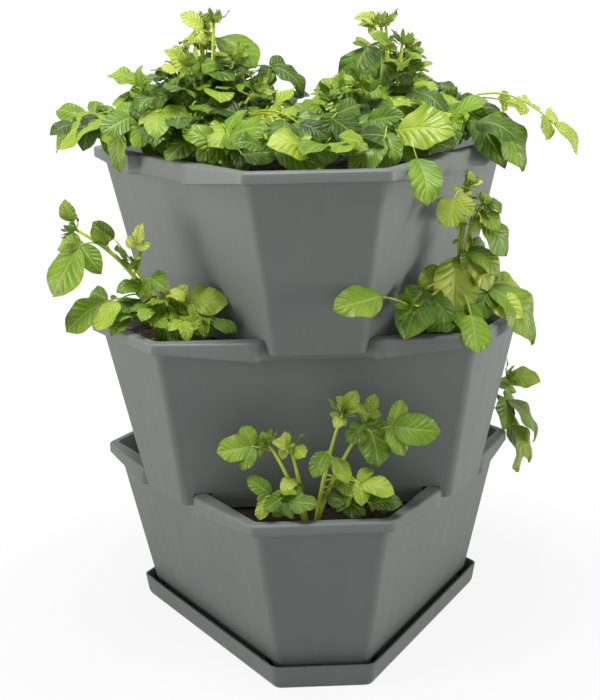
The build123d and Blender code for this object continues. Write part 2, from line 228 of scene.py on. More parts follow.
def leaf_material():
    n = Nodes(bpy.data.materials.new("potato_leaf"))
    where = n.where()
    place = n.add("Attribute", attribute_name="leaf").outputs["Vector"]
    across, lengthwise, tone = n.add("SeparateXYZ", Vector=place).outputs
    off = n.math("ABSOLUTE", across)
    # Side veins leave the midrib at a slant and curve towards the tip
    lag = n.math("SUBTRACT", 0.42, n.math("MULTIPLY", off, 0.14))
    slant = n.math("SUBTRACT", lengthwise, n.math("MULTIPLY", off, lag))
    # Those of one half start between those of the other
    hand = n.math("MULTIPLY", n.math("SIGN", across), 0.25)
    count = n.math("FRACT", n.math("ADD", n.math("MULTIPLY", slant, SIDE_VEINS), hand))
    vein_gap = n.math("ABSOLUTE", n.math("SUBTRACT", count, 0.5))
    side_vein = n.math("MULTIPLY", n.span(vein_gap, 0.10, 0.02), n.span(off, 0.98, 0.65))
    midrib = n.span(off, 0.085, 0.03)
    veins = n.math("MAXIMUM", midrib, n.math("MULTIPLY", side_vein, 0.55))
    netting = n.add("TexVoronoi", feature="DISTANCE_TO_EDGE", Vector=where, Scale=400.0)
    net = n.span(netting.outputs["Distance"], 0.10, 0.0)
    blotch = n.noise(where, scale=38.0)
    colour = n.ramp(
        n.math("ADD", tone, n.span(blotch, 0.25, 0.75, -0.10, 0.10)),
        (0.0, (0.010, 0.036, 0.002)),
        (0.3, (0.049, 0.124, 0.005)),
        (0.6, (0.141, 0.262, 0.009)),
        (0.85, (0.272, 0.385, 0.028)),
        (1.0, (0.460, 0.530, 0.090)),
    )
    colour = n.mix(n.span(off, 0.75, 1.0, 0.0, 0.22), colour, (0.05, 0.12, 0.008))
    light = n.mix(0.5, colour, (0.52, 0.60, 0.12))
    colour = n.mix(n.math("MULTIPLY", net, 0.14), colour, light)
    colour = n.mix(n.math("MULTIPLY", veins, 0.70), colour, light)
    back = n.add("NewGeometry").outputs["Backfacing"]
    pale = n.mix(0.40, colour, (0.27, 0.37, 0.11))
    colour = n.mix(back, colour, pale)
    n.set("Base Color", colour)
    n.set("Roughness", n.span(blotch, 0.3, 0.7, 0.31, 0.46))
    n.set("Specular IOR Level", 0.34)
    swell = n.math("MULTIPLY", n.span(vein_gap, 0.0, 0.38), n.span(off, 0.0, 0.35))
    height = n.math("SUBTRACT", swell, n.math("MULTIPLY", midrib, 0.7))
    n.set("Normal", n.bump(height, 0.6, 0.0013))
    glow = n.add("BsdfTranslucent", Color=n.mix(0.35, colour, (0.40, 0.56, 0.04)))
    n.mix_shaders(0.14, n.shader.outputs[0], glow.outputs[0])
    return n.owner


def stem_material():
    n = Nodes(bpy.data.materials.new("potato_stem"))
    where = n.where()
    place = n.add("Attribute", attribute_name="leaf").outputs["Vector"]
    around, _, tone = n.add("SeparateXYZ", Vector=place).outputs
    # Six ribs, since around goes from 0 to 2
    ridges = n.math("ABSOLUTE", n.math("SINE", n.math("MULTIPLY", around, 9.42)))
    cloud = n.noise(where, scale=60.0)
    colour = n.ramp(
        n.math("ADD", tone, n.span(cloud, 0.3, 0.7, -0.12, 0.12)),
        (0.0, (0.22, 0.34, 0.020)),
        (0.5, (0.46, 0.60, 0.040)),
        (1.0, (0.64, 0.76, 0.085)),
    )
    # The grooves between the ribs are darker: painted shade in the creases.
    colour = n.mix(n.span(ridges, 0.0, 0.5, 0.30, 0.0), colour, (0.22, 0.34, 0.05))
    n.set("Base Color", colour)
    n.set("Roughness", 0.48)
    n.set("Specular IOR Level", 0.35)
    hairs = n.noise(where, scale=900.0, detail=2.0)
    normal = n.bump(ridges, 0.5, 0.0012)
    n.set("Normal", n.bump(hairs, 0.25, 0.0006, normal))
    return n.owner


def potato_material():
    n = Nodes(bpy.data.materials.new("potato_skin"))
    where = n.where()
    cloud = n.noise(where, scale=70.0, detail=4.0)
    spots = n.noise(where, scale=380.0, detail=2.0)
    colour = n.ramp(cloud, (0.3, (0.40, 0.26, 0.13)), (0.7, (0.60, 0.43, 0.24)))
    n.set("Base Color", n.mix(n.span(spots, 0.62, 0.72, 0.0, 0.7), colour, (0.20, 0.12, 0.06)))
    n.set("Roughness", n.span(cloud, 0.3, 0.7, 0.62, 0.8))
    n.set("Normal", n.bump(spots, 0.4, 0.001))
    return n.owner


def floor_material():
    """A pale floor that shows almost white, with a faint shadow close to the tower."""
    n = Nodes(bpy.data.materials.new("studio_floor"))
    where = n.where()
    cloud = n.noise(where, scale=3.0, detail=2.0)
    n.set("Base Color", n.ramp(cloud, (0.3, grey(0.40)), (0.7, grey(0.44))))
    n.set("Roughness", 0.9)
    n.set("Specular IOR Level", 0.1)
    white = n.add("Emission", Color=(1, 1, 1, 1), Strength=1.03)
    far = n.add("VectorMath", operation="LENGTH")
    n.put(far.inputs[0], where)
    share = n.span(far.outputs["Value"], 0.25, 0.75, 0.88, 1.0)
    n.mix_shaders(n.math("MULTIPLY", n.seen(), share), n.shader.outputs[0], white.outputs[0])
    return n.owner


PLASTIC = plastic_material()
SOIL = soil_material()
LEAF = leaf_material()
STEM = stem_material()
SKIN = potato_material()


def dress(node, material):
    mesh = nodes[node].data
    mesh.materials.clear()
    mesh.materials.append(material)


dress("drip_saucer", PLASTIC)
for node in nodes:
    if node.endswith("_seed_potato"):
        dress(node, SKIN)


# Lips of the tubs

SIDE_LIP, LIP_SWELL = 183.5, 8.0
NOTCH_FACE, NOTCH_FOOT = 184.3, 181.3
EDGE_RADIUS, EDGE_STEPS = 12.0, 5
LIP_ROUND, LIP_DROP = 3.0, 0.5
SMALL_EDGE, FILLET = 0.8, 1.2
SHALLOW, DEEP = 12.5, 22.0
SHARP_FROM = math.radians(32)
# The solid's tub is kept up to this height
CUT = 150.0
# Columns of a long side, as a share of its half length, and whether they lie in the notch
NOTCH_END = 0.372
BESIDE_NOTCH = (NOTCH_END, 0.45, 0.55, 0.7, 0.85)
IN_NOTCH = (-0.345, -0.17, 0.0, 0.17, 0.345)
SIDE_COLUMNS = [(-t, False) for t in reversed(BESIDE_NOTCH)]
SIDE_COLUMNS += [(t, True) for t in IN_NOTCH]
SIDE_COLUMNS += [(t, False) for t in BESIDE_NOTCH]


def outline(side, corner, radius, swell=0.0, recess=None):
    """The ring of points round a tub at the given distances from its axis."""
    half_face = (2 * side - corner) / math.sqrt(3)
    edges = []
    for turn in CORNERS:
        for end in (-1, 1):
            before = turn - 60 if end < 0 else turn
            vertex = ray(turn, corner) + ray(turn + 90, end * half_face)
            # The two faces' normals are 60 degrees apart, and 1.5 is 1 + cos 60
            centre = vertex - (ray(before) + ray(before + 60)) * (radius / 1.5)
            turns = [before + 60 * step / EDGE_STEPS for step in range(EDGE_STEPS + 1)]
            edges.append([centre + ray(a, radius) for a in turns])
    points = []
    for index, edge in enumerate(edges):
        points += edge
        if index % 2:
            start, end = edge[-1], edges[(index + 1) % len(edges)][0]
            normal = ray(CORNERS[index // 2] + 60)
            for t, in_notch in SIDE_COLUMNS:
                point = start.lerp(end, (t + 1) / 2) + normal * (swell * (1 - t * t))
                if in_notch and recess:
                    point += normal * (recess - point.dot(normal))
                points.append(point)
    return points


def band_depths():
    """How far below the rim the band ends, column by column."""
    depths = []
    for _ in CORNERS:
        depths += [SHALLOW] * (2 * (EDGE_STEPS + 1))
        for t, _ in SIDE_COLUMNS:
            past_notch = max(0.0, abs(t) - NOTCH_END) / (1 - NOTCH_END)
            depths.append(lerp(DEEP, SHALLOW, past_notch))
    return depths


def lip_rows():
    """The rows of points of a lip, from the inner wall over the rim to the outer wall.

    The lip is flat on top with a round edge, has an upright band that deepens towards the
    notch in each long side, and is flat underneath.
    """
    depths = band_depths()

    def level(points, height):
        return [Vector((p.x, p.y, height)) for p in points]

    def below(points, extra):
        heights = [TUB_HEIGHT - depth - extra for depth in depths]
        return [Vector((p.x, p.y, height)) for p, height in zip(points, heights)]

    def wall(height, inset):
        side = SIDE_BASE + SIDE_LEAN * height - inset
        corner = CORNER_BASE + CORNER_LEAN * height - inset
        return outline(side, corner, EDGE_RADIUS - inset)

    def lip(inset, recess=NOTCH_FACE):
        radius = EDGE_RADIUS - inset
        return outline(SIDE_LIP - inset, CORNER_LIP - inset, radius, LIP_SWELL, recess - inset)

    low, high = wall(CUT, 0.0), wall(TUB_HEIGHT, 0.0)

    def on_wall(extra, out):
        points = []
        for index, depth in enumerate(depths):
            share = (TUB_HEIGHT - depth - extra - CUT) / (TUB_HEIGHT - CUT)
            point = low[index].lerp(high[index], share)
            points.append(point + point.normalized() * out)
        return below(points, extra)

    rows = [level(wall(CUT, WALL), CUT)]
    rows.append(level(wall(TUB_HEIGHT, WALL), TUB_HEIGHT - SMALL_EDGE))
    rows.append(level(wall(TUB_HEIGHT, WALL - SMALL_EDGE), TUB_HEIGHT))
    for degrees in range(0, 91, 18):
        angle = math.radians(degrees)
        inset = LIP_ROUND * (1 - math.sin(angle))
        rows.append(level(lip(inset), TUB_HEIGHT - LIP_DROP - LIP_ROUND * (1 - math.cos(angle))))
    rows += [below(lip(0.0, NOTCH_FOOT), -SMALL_EDGE), below(lip(SMALL_EDGE, NOTCH_FOOT), 0.0)]
    rows += [on_wall(0.0, FILLET), on_wall(FILLET, 0.0), level(low, CUT)]
    return rows


def make_tub(tier):
    """The solid's tub up to the lip, with the finer lip on top."""
    name = TIERS[tier]
    node = nodes[name + "_tier"]
    base = tier_foot(tier)
    spin = Matrix.Rotation(math.radians(tier_turn(tier)), 3, "Z")
    form = bmesh.new()
    form.from_mesh(node.data)
    form.transform(node.matrix_world)
    geometry = form.verts[:] + form.edges[:] + form.faces[:]
    place = (0, 0, (base + CUT) * MM)
    bmesh.ops.bisect_plane(form, geom=geometry, plane_co=place, plane_no=UPRIGHT, clear_outer=True)
    rows = []
    for row in lip_rows():
        rows.append([form.verts.new((spin @ p + Vector((0, 0, base))) * MM) for p in row])
    for row, after in zip(rows, rows[1:]):
        for column in range(len(row)):
            ahead = (column + 1) % len(row)
            form.faces.new((row[column], after[column], after[ahead], row[ahead]))
    mesh = bpy.data.meshes.new(name + "_tub")
    form.to_mesh(mesh)
    form.free()
    mesh.materials.clear()
    mesh.materials.append(PLASTIC)
    mesh.polygons.foreach_set("use_smooth", [True] * len(mesh.polygons))
    mesh.set_sharp_from_angle(angle=SHARP_FROM)
    mesh.update()
    piece = add_object(name + "_tub", mesh)
    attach(piece, name)
    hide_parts(name + "_tier")


for tier in range(len(TIERS)):
    make_tub(tier)


# Shape of the tubs, used to keep soil and leaves off the plastic

# Room for the lip: how far out, and from which height
LIP_REACH, LIP_UNDERSIDE = 17.0, 158.0
ABOVE_RIM, ABOVE_SOIL = 1.5, 2.0
LOWEST_LEAF = 30.0


def tub_gap(point, tier):
    """Height in a tub, and how far outside its walls a point is (negative inside)."""
    height = point.z - FOOT - STACK * tier
    turn = tier_turn(tier)
    side = SIDE_BASE + SIDE_LEAN * height
    corner = CORNER_BASE + CORNER_LEAN * height
    gaps = [point.xy.dot(ray(a + turn).xy) - corner for a in CORNERS]
    gaps += [point.xy.dot(ray(a + turn).xy) - side for a in SIDES]
    return height, max(gaps)


def is_clear(point, margin=3.0):
    """True where a leaf can be: outside the plastic and above the soil."""
    for tier in range(len(TIERS)):
        height, gap = tub_gap(point, tier)
        if height < -margin or height > TUB_HEIGHT + ABOVE_RIM:
            continue
        lip = LIP_REACH if height > LIP_UNDERSIDE else 0.0
        outside = gap > lip + margin
        in_mouth = gap < -WALL - margin and height > SOIL_TOP + ABOVE_SOIL
        if not outside and not in_mouth:
            return False
    return point.z > LOWEST_LEAF


# Soil

SOIL_SEED = 40
SOIL_GAP, FLOOR_GAP = 0.4, 0.2
# The higher, the sharper the edges of the soil
SOIL_POWER = 44
SOIL_AROUND, SOIL_RINGS = 180, 34
SOIL_TONE = 0.3
CRUMBS_IN_POCKETS, CRUMBS_ON_TOP = 420, 520
# Shorter than this, a line between two corners of a ball with radius 1 is an edge
BALL_EDGE = 1.2


def soil_reach(turn, height):
    """Distance from the axis to the edge of the soil in one direction, before a tub's turn."""
    total = 0.0
    for angles, base, lean in ((CORNERS, CORNER_BASE, CORNER_LEAN), (SIDES, SIDE_BASE, SIDE_LEAN)):
        for a in angles:
            facing = math.cos(math.radians(turn - a))
            if facing > 0.05:
                total += (facing / (base + lean * height - WALL - SOIL_GAP)) ** SOIL_POWER
    return total ** (-1 / SOIL_POWER)


def ball():
    """The twelve corners of a twenty-sided ball."""
    gold = (1 + 5**0.5) / 2
    corners = []
    for a in (-1, 1):
        for b in (-gold, gold):
            corners += [(a, b, 0), (0, a, b), (b, 0, a)]
    return [Vector(corner).normalized() for corner in corners]


def ball_faces(corners):
    """The twenty faces of the ball, each turned outwards."""
    faces = []
    for i, a in enumerate(corners):
        for j in range(i + 1, len(corners)):
            for k in range(j + 1, len(corners)):
                b, c = corners[j], corners[k]
                if max((a - b).length, (b - c).length, (a - c).length) < BALL_EDGE:
                    flip = (b - a).cross(c - a).dot(a + b + c) < 0
                    faces.append((i, k, j) if flip else (i, j, k))
    return faces


BALL = ball()
BALL_FACES = ball_faces(BALL)


def crumb(verts, faces, tones, centre, size, rng):
    """One lump of soil: a bent twenty-sided ball."""
    start = len(verts)
    turn = rng.uniform(0, FULL_TURN)
    spin = Matrix.Rotation(turn, 3, Vector((rng.uniform(-1, 1), rng.uniform(-1, 1), 1)).normalized())
    stretch = Vector((rng.uniform(0.7, 1.4), rng.uniform(0.7, 1.3), rng.uniform(0.5, 0.9)))
    tone = rng.random()
    for corner in BALL:
        p = spin @ (corner * rng.uniform(0.75, 1.2))
        verts.append(centre + Vector((p.x * stretch.x, p.y * stretch.y, p.z * stretch.z)) * size)
        tones.append(tone)
    faces += [tuple(start + index for index in face) for face in BALL_FACES]


def make_soil(tier):
    """The soil of one tub: a lumpy top, plain sides and bottom, and loose crumbs."""
    rng = random.Random(SOIL_SEED + tier)
    turn = tier_turn(tier)
    base = tier_foot(tier)
    verts, faces, tones = [], [], []
    open_top = tier == len(TIERS) - 1

    def outside_next(point, lift):
        """How far outside the tub above a point is, at a height over that tub's foot."""
        return tub_gap(Vector((point.x, point.y, base + STACK + lift)), tier + 1)[1]

    def rise(point):
        pocket = 1.0 if open_top else max(0.0, min(1.0, outside_next(point, 4) / 12))
        lumps = noise.fractal(Vector((point.x * 0.06, point.y * 0.06, tier * 7.0)), 0.9, 2.1, 4)
        grain = noise.noise(Vector((point.x * 0.35, point.y * 0.35, tier * 3.0)))
        return pocket * (lumps * 2.6 + grain * 0.9 + 0.6) - 0.4 * (1 - pocket)

    turns = [step * 360 / SOIL_AROUND for step in range(SOIL_AROUND)]
    verts.append(Vector((0, 0, base + SOIL_TOP)))
    for ring in range(1, SOIL_RINGS + 1):
        for a in turns:
            point = ray(a + turn, soil_reach(a, SOIL_TOP) * (ring / SOIL_RINGS))
            point.z = base + SOIL_TOP + (rise(point) if ring < SOIL_RINGS else -1.0)
            verts.append(point)
    bottom = base + FLOOR_TOP + FLOOR_GAP
    for a in turns:
        verts.append(ray(a + turn, soil_reach(a, FLOOR_TOP), bottom))
    verts.append(Vector((0, 0, bottom)))
    for step in range(SOIL_AROUND):
        after = (step + 1) % SOIL_AROUND
        faces.append((0, 1 + step, 1 + after))
        for ring in range(SOIL_RINGS):
            a = 1 + ring * SOIL_AROUND
            b = a + SOIL_AROUND
            faces.append((a + step, b + step, b + after, a + after))
        last = 1 + SOIL_RINGS * SOIL_AROUND
        faces.append((last + step, len(verts) - 1, last + after))
    body = len(verts)
    tones += [SOIL_TONE] * body

    missing = CRUMBS_ON_TOP if open_top else CRUMBS_IN_POCKETS
    while missing:
        a = rng.uniform(0, 360)
        point = ray(a + turn, soil_reach(a, SOIL_TOP) * rng.random() ** 0.4)
        point.z = base + SOIL_TOP
        size = rng.uniform(0.9, 3.2)
        if not open_top and outside_next(point, 8) < size + 3:
            continue
        if tub_gap(point, tier)[1] > -WALL - size * 1.8:
            continue
        point.z += rise(point) + size * 0.15
        crumb(verts, faces, tones, point, size, rng)
        missing -= 1

    name = TIERS[tier] + "_soil_fill"
    mesh = bpy.data.meshes.new(name)
    mesh.from_pydata([v * MM for v in verts], [], faces)
    mesh.attributes.new("tone", "FLOAT", "POINT").data.foreach_set("value", tones)
    mesh.materials.append(SOIL)
    mesh.polygons.foreach_set("use_smooth", [max(p.vertices) < body for p in mesh.polygons])
    mesh.update()
    piece = add_object(name, mesh)
    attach(piece, TIERS[tier])
    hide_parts(TIERS[tier] + "_soil")


for tier in range(len(TIERS)):
    make_soil(tier)


# Potato plants

# Leaflets longer than the first get the finest mesh, those shorter than the second the coarsest
LARGE_LEAFLET, SMALL_LEAFLET = 27, 15
# The most that the formula of a leaflet's width reaches
FULLEST = 0.4293
# Leaves stand round a stem by the golden angle
GOLDEN_DEGREES, GOLDEN_RADIANS = 137.5, 2.4
STEM_STEPS, SHOOT_STEPS, STALK_STEPS = 14, 12, 7
# Places tried for a leaf that would touch a tub
TRIES = 6
PLANT_SEED = 11


def curve(start, control, end, steps, last=1.0):
    """Points from start towards end, on a curve that is drawn to the control point."""
    points = []
    for step in range(steps + 1):
        t = last * step / steps
        points.append(start * (1 - t) ** 2 + control * (2 * t * (1 - t)) + end * t**2)
    return points


def stalk_curve(start, joint, lift):
    control = (start + joint) / 2 + UPRIGHT * ((joint - start).length * lift)
    return curve(start, control, joint, STALK_STEPS)


def along(points, share):
    """A point on the line through the points, and the direction there."""
    place = share * (len(points) - 1)
    index = min(int(place), len(points) - 2)
    step = points[index + 1] - points[index]
    return points[index] + step * (place - index), step.normalized()


def taper(thick, thin, steps):
    return [lerp(thick, thin, step / steps) for step in range(steps + 1)]


def level_heading(start, end):
    return Vector((end.x - start.x, end.y - start.y, 0)).normalized()


def square_to(axis, vector):
    """The direction nearest to the vector that is square to the axis."""
    return (vector - axis * vector.dot(axis)).normalized()


class Plant:
    """The mesh of one plant while it grows: stems, stalks and leaflets."""

    STEM_SLOT, LEAF_SLOT = 0, 1

    def __init__(self, data, seed):
        self.data = data
        self.rng = random.Random(seed)
        self.young = data.get("young", 0.0)
        self.anchor = ray(data["turn"], CORNER_LIP, tier_foot(data["tier"]) + TUB_HEIGHT)
        self.root = self.anchor + Vector((*data["root"], SOIL_TOP - TUB_HEIGHT))
        self.stems = []
        self.verts = []
        self.faces = []
        self.slots = []
        self.places = []

    def tube(self, points, radii, sides, tone):
        start = len(self.verts)
        last = len(points) - 1
        side = None
        for index, point in enumerate(points):
            ahead = points[min(index + 1, last)] - points[max(index - 1, 0)]
            ahead.normalize()
            if side is None:
                side = ahead.orthogonal().normalized()
            side = square_to(ahead, side)
            other = ahead.cross(side)
            for step in range(sides):
                a = 2 * math.pi * step / sides
                out = side * math.cos(a) + other * math.sin(a)
                self.verts.append(point + out * radii[index])
                self.places.append((step / sides * 2, index / last, tone))
        for index in range(last):
            for step in range(sides):
                a = start + index * sides + step
                b = start + index * sides + (step + 1) % sides
                self.faces.append((a, b, b + sides, a + sides))
                self.slots.append(self.STEM_SLOT)
        for first in (start, start + last * sides):
            ring = [first + step for step in range(sides)]
            self.faces.append(ring if first > start else ring[::-1])
            self.slots.append(self.STEM_SLOT)

    def blade(self, base, tip, facing, aspect, arch, fold, wave, tone):
        """One leaflet: oval with a drawn-out tip, folded at the midrib, with a wavy edge."""
        rng = self.rng
        axis = tip - base
        length = axis.length
        across = axis.cross(facing).normalized()
        up = across.cross(axis).normalized()
        quilted = length > LARGE_LEAFLET
        columns, rows = (8, 13) if quilted else (6, 9) if length > SMALL_LEAFLET else (4, 6)
        start = len(self.verts)
        skew = rng.uniform(-0.06, 0.06)
        sway = rng.uniform(-0.06, 0.06) * length
        phase = rng.uniform(0, FULL_TURN)
        beats = rng.uniform(1.3, 2.2)
        hook = rng.uniform(0.02, 0.10) * length
        for row in range(rows + 1):
            v = row / rows
            spread = max(0.03, (v**0.58) * ((1 - v) ** 0.64) / FULLEST)
            if v > 0.85:
                spread *= lerp(1.0, 0.7, (v - 0.85) / 0.15)
            half = length * aspect / 2 * spread
            middle = base + axis * v + up * (arch * length * 4 * v * (1 - v))
            middle += across * (sway * math.sin(math.pi * v)) - up * (hook * v**4)
            for column in range(columns + 1):
                u = 2 * column / columns - 1
                x = half * u * (1 + skew * (1 if u > 0 else -1))
                lift = fold * abs(x) - 0.55 * fold * half * u * u * u * u
                beat = math.sin(FULL_TURN * beats * v + phase + (1.4 if u > 0 else 0))
                lift += wave * length * u * u * beat * min(1, 3 * v)
                if quilted:
                    quilt = math.sin(FULL_TURN * (SIDE_VEINS * (v - 0.4 * abs(u))))
                    lift += 0.012 * length * quilt * abs(u) * (1 - 0.6 * abs(u))
                self.verts.append(middle + across * x + up * lift)
                self.places.append((u, v, tone))
        for row in range(rows):
            for column in range(columns):
                a = start + row * (columns + 1) + column
                b = a + columns + 1
                self.faces.append((a, a + 1, b + 1, b))
                self.slots.append(self.LEAF_SLOT)

    def fits(self, base, tip, facing, aspect):
        """True if a leaflet there stays off the tubs and the soil."""
        across = (tip - base).cross(facing).normalized() * ((tip - base).length * aspect / 2)
        for share, spread in ((0.1, 0.4), (0.35, 1.0), (0.65, 0.85), (1.0, 0.0)):
            middle = base.lerp(tip, share)
            for hand in (-1, 0, 1):
                if not is_clear(middle + across * (spread * hand)):
                    return False
        return True

    def leaf(self, stalk, tip, facing, pairs, tone, filler=False):
        """A leaf: its stalk, the end leaflet, pairs of side leaflets and small ones between.

        A filler is left out, and False given back, where its end leaflet doesn't fit.
        """
        rng = self.rng
        joint = stalk[-1]
        axis = (tip - joint).normalized()
        size = (tip - joint).length
        aspect = rng.uniform(0.56, 0.84)
        if filler and not self.fits(joint, tip, facing, aspect):
            return False
        thick = lerp(0.9, 1.6, min(1, (joint - stalk[0]).length / 100))
        self.tube(stalk, taper(thick, 0.7, len(stalk) - 1), 6, 0.4 + 0.4 * tone)
        arch = rng.uniform(0.02, 0.18)
        fold = rng.uniform(-0.34, 0.34)
        self.blade(joint, tip, facing, aspect, arch, fold, rng.uniform(0.02, 0.075), tone)
        aside = axis.cross(facing).normalized()
        for pair in range(pairs):
            root = along(stalk, 0.92 * (1 - 0.5 * pair / pairs))[0]
            for hand in (-1, 1):
                length = size * 0.66 * (1 - 0.2 * pair) * rng.uniform(0.88, 1.15)
                heading = axis * rng.uniform(0.25, 0.65) + aside * (hand * 0.85)
                heading = (heading - facing * rng.uniform(0.0, 0.25)).normalized()
                turned = (facing + aside * (hand * rng.uniform(-0.1, 0.35))).normalized()
                end = root + heading * length
                if self.fits(root + heading * 3, end, turned, 0.65):
                    aspect = rng.uniform(0.60, 0.76)
                    fold = rng.uniform(-0.25, 0.3)
                    shade = tone + rng.uniform(-0.12, 0.12)
                    self.blade(root, end, turned, aspect, 0.10, fold, 0.04, shade)
        for _ in range(2 * pairs):
            root = along(stalk, rng.uniform(0.4, 0.95))[0]
            heading = (axis * 0.5 + aside * rng.choice((-1, 1)) + facing * 0.2).normalized()
            end = root + heading * rng.uniform(6, 11)
            if self.fits(root, end, facing, 0.6):
                self.blade(root, end, facing, 0.6, 0.1, 0.2, 0.03, min(1, tone + 0.15))
        return True

    def tuft(self, tip, ahead, size, count):
        """The young leaves at the end of a stem, still narrow and curled."""
        rng = self.rng
        side = ahead.orthogonal().normalized()
        for step in range(count):
            a = step * GOLDEN_RADIANS + rng.uniform(-0.3, 0.3)
            out = side * math.cos(a) + ahead.cross(side) * math.sin(a)
            open_up = lerp(0.35, 1.25, step / count) * rng.uniform(0.8, 1.2)
            heading = (ahead * math.cos(open_up) + out * math.sin(open_up)).normalized()
            length = size * lerp(0.6, 1.15, step / count) * rng.uniform(0.85, 1.15)
            facing = (ahead * math.sin(open_up) - out * math.cos(open_up)).normalized()
            end = tip + heading * length
            if self.fits(tip, end, facing, 0.45):
                aspect = rng.uniform(0.26, 0.38)
                arch = -rng.uniform(0.04, 0.16)
                self.blade(tip, end, facing, aspect, arch, 0.35, 0.06, rng.uniform(0.35, 0.95))

    def grow_stems(self):
        """The stems, each from its own foot in the soil."""
        lean = self.data.get("lean", 0.0)
        girth = self.data.get("girth", 1.0)
        for offset in self.data["stems"]:
            tip = self.anchor + Vector(offset)
            foot = self.root + level_heading(self.root, tip) * 5
            rise = (tip.z - self.root.z) * (0.62 - lean)
            points = curve(foot, foot.lerp(tip, lean) + UPRIGHT * rise, tip, STEM_STEPS)
            self.stems.append(points)
            radii = [radius * girth for radius in taper(3.7, 1.7, STEM_STEPS)]
            self.tube([foot - UPRIGHT * 12] + points, [4.0 * girth] + radii, 10, 0.9)
            self.tuft(tip, along(points, 1.0)[1], self.rng.uniform(20, 26), 9)

    def grow_shoots(self):
        """Side shoots, with small leaves near their tips."""
        rng = self.rng
        for offset in self.data.get("shoots", ()):
            tip = self.anchor + Vector(offset)
            control = self.root.lerp(tip, 0.45) + UPRIGHT * 16 + Vector((0, -14, 0))
            points = curve(self.root, control, tip, SHOOT_STEPS)
            self.tube(points, taper(3.3, 1.6, SHOOT_STEPS), 8, 0.9)
            self.tuft(tip, along(points, 1.0)[1], rng.uniform(22, 28), 10)
            for step in range(5):
                start = along(points, 0.6 + 0.08 * step)[0]
                a = GOLDEN_RADIANS * step + rng.uniform(-0.4, 0.4)
                out = Vector((math.cos(a), math.sin(a), rng.uniform(0.0, 0.6))).normalized()
                joint = start + out * rng.uniform(8, 18)
                stalk = [start.lerp(joint, s / 3) for s in range(4)]
                ahead = (out + UPRIGHT * rng.uniform(-0.7, 0.4)).normalized()
                towards = Vector((rng.uniform(-0.4, 0.4), -rng.uniform(0.1, 0.8), 0))
                facing = square_to(ahead, UPRIGHT * 0.7 + towards)
                end = joint + ahead * rng.uniform(18, 32)
                self.leaf(stalk, end, facing, 0, rng.uniform(0.45, 1.0), True)

    def grow_leaves(self):
        """The leaves that can be told apart in the photograph."""
        rng = self.rng
        outward = ray(self.data["turn"])
        for stem, share, offset, blade_length, pairs in self.data["leaves"]:
            start = along(self.stems[stem], share)[0]
            tip = self.anchor + Vector(offset)
            run = tip - start
            control = (start + tip) / 2 + UPRIGHT * (run.length * 0.22 + max(0, -run.z) * 0.7)
            joint_share = max(0.2, 1 - blade_length / run.length)
            stalk = curve(start, control, tip, STALK_STEPS, joint_share)
            away = level_heading(self.root, tip) + outward * self.data["out"]
            jitter = [rng.uniform(-0.25, 0.25), rng.uniform(-0.9, -0.4), rng.uniform(-0.1, 0.2)]
            facing = (away.normalized() * 0.8 + UPRIGHT * 0.7 + Vector(jitter)).normalized()
            age = self.young + (0.70 if blade_length < 32 else 0.50)
            self.leaf(stalk, tip, facing, pairs, age + rng.uniform(-0.32, 0.32))

    def grow_canopies(self):
        """Domes of leaves, laid out in a spiral from the middle outwards."""
        rng = self.rng
        for stem, middle, reach, height, count, sizes, pull, light in self.data["canopies"]:
            for step in range(count):
                spread = math.sqrt((step + 0.5) / count)
                turn = math.radians(GOLDEN_DEGREES * step)
                offset = Vector((reach[0] * math.cos(turn), reach[1] * math.sin(turn), 0))
                size = lerp(sizes[1], sizes[0], spread) * rng.uniform(0.58, 1.15)
                start = along(self.stems[stem], lerp(0.62, 0.2, spread))[0]
                for attempt in range(TRIES):
                    rise = lerp(height[1], height[0], spread) + 8 * attempt
                    joint = self.anchor + Vector((*middle, rise)) + offset * spread
                    slope = math.radians(lerp(14, -38, spread) + rng.uniform(-30, 44))
                    swing = Matrix.Rotation(rng.uniform(-1.0, 1.0), 3, "Z")
                    away = swing @ offset.normalized()
                    forward = [rng.uniform(-0.5, 0.5), -pull * rng.uniform(0.2, 1.6)]
                    jitter = Vector((*forward, rng.uniform(-0.3, 0.4)))
                    facing = UPRIGHT * math.cos(slope) - away * math.sin(slope) + jitter
                    facing.normalize()
                    axis = square_to(facing, away * math.cos(slope) + UPRIGHT * math.sin(slope))
                    stalk = stalk_curve(start, joint, 0.22)
                    # Low, inner canopies get darker leaves: painted shade, on top of the leaves' own
                    # tone.
                    tone = self.young + light + rng.uniform(-0.40, 0.40)
                    pairs = rng.choice((0, 1, 1))
                    if self.leaf(stalk, joint + axis * size, facing, pairs, tone, True):
                        break

    def grow_edges(self):
        """Leaves along the rim of a tub, from one place to another."""
        rng = self.rng
        for stem, first, last, count, size, height, light in self.data.get("edges", ()):
            for step in range(count):
                share = (step + rng.uniform(0.2, 0.8)) / count
                place = self.anchor + Vector((*first, 0)).lerp(Vector((*last, 0)), share)
                length = size * rng.uniform(0.75, 1.2)
                start = along(self.stems[stem], rng.uniform(0.1, 0.4))[0]
                for attempt in range(TRIES):
                    joint = place + UPRIGHT * (rng.uniform(*height) + 6 * attempt)
                    sideways, forward = rng.uniform(-0.9, 0.9), rng.uniform(-0.7, 0.1)
                    away = Vector((sideways, forward, rng.uniform(-0.7, 0.25))).normalized()
                    sideways, forward = rng.uniform(-0.4, 0.4), -rng.uniform(0.4, 1.1)
                    facing = Vector((sideways, forward, rng.uniform(0.4, 1.0)))
                    facing = square_to(away, facing)
                    stalk = stalk_curve(start, joint, 0.25)
                    pairs = rng.choice((0, 0, 1))
                    tone = light + rng.uniform(-0.35, 0.35)
                    if self.leaf(stalk, joint + away * length, facing, pairs, tone, True):
                        break

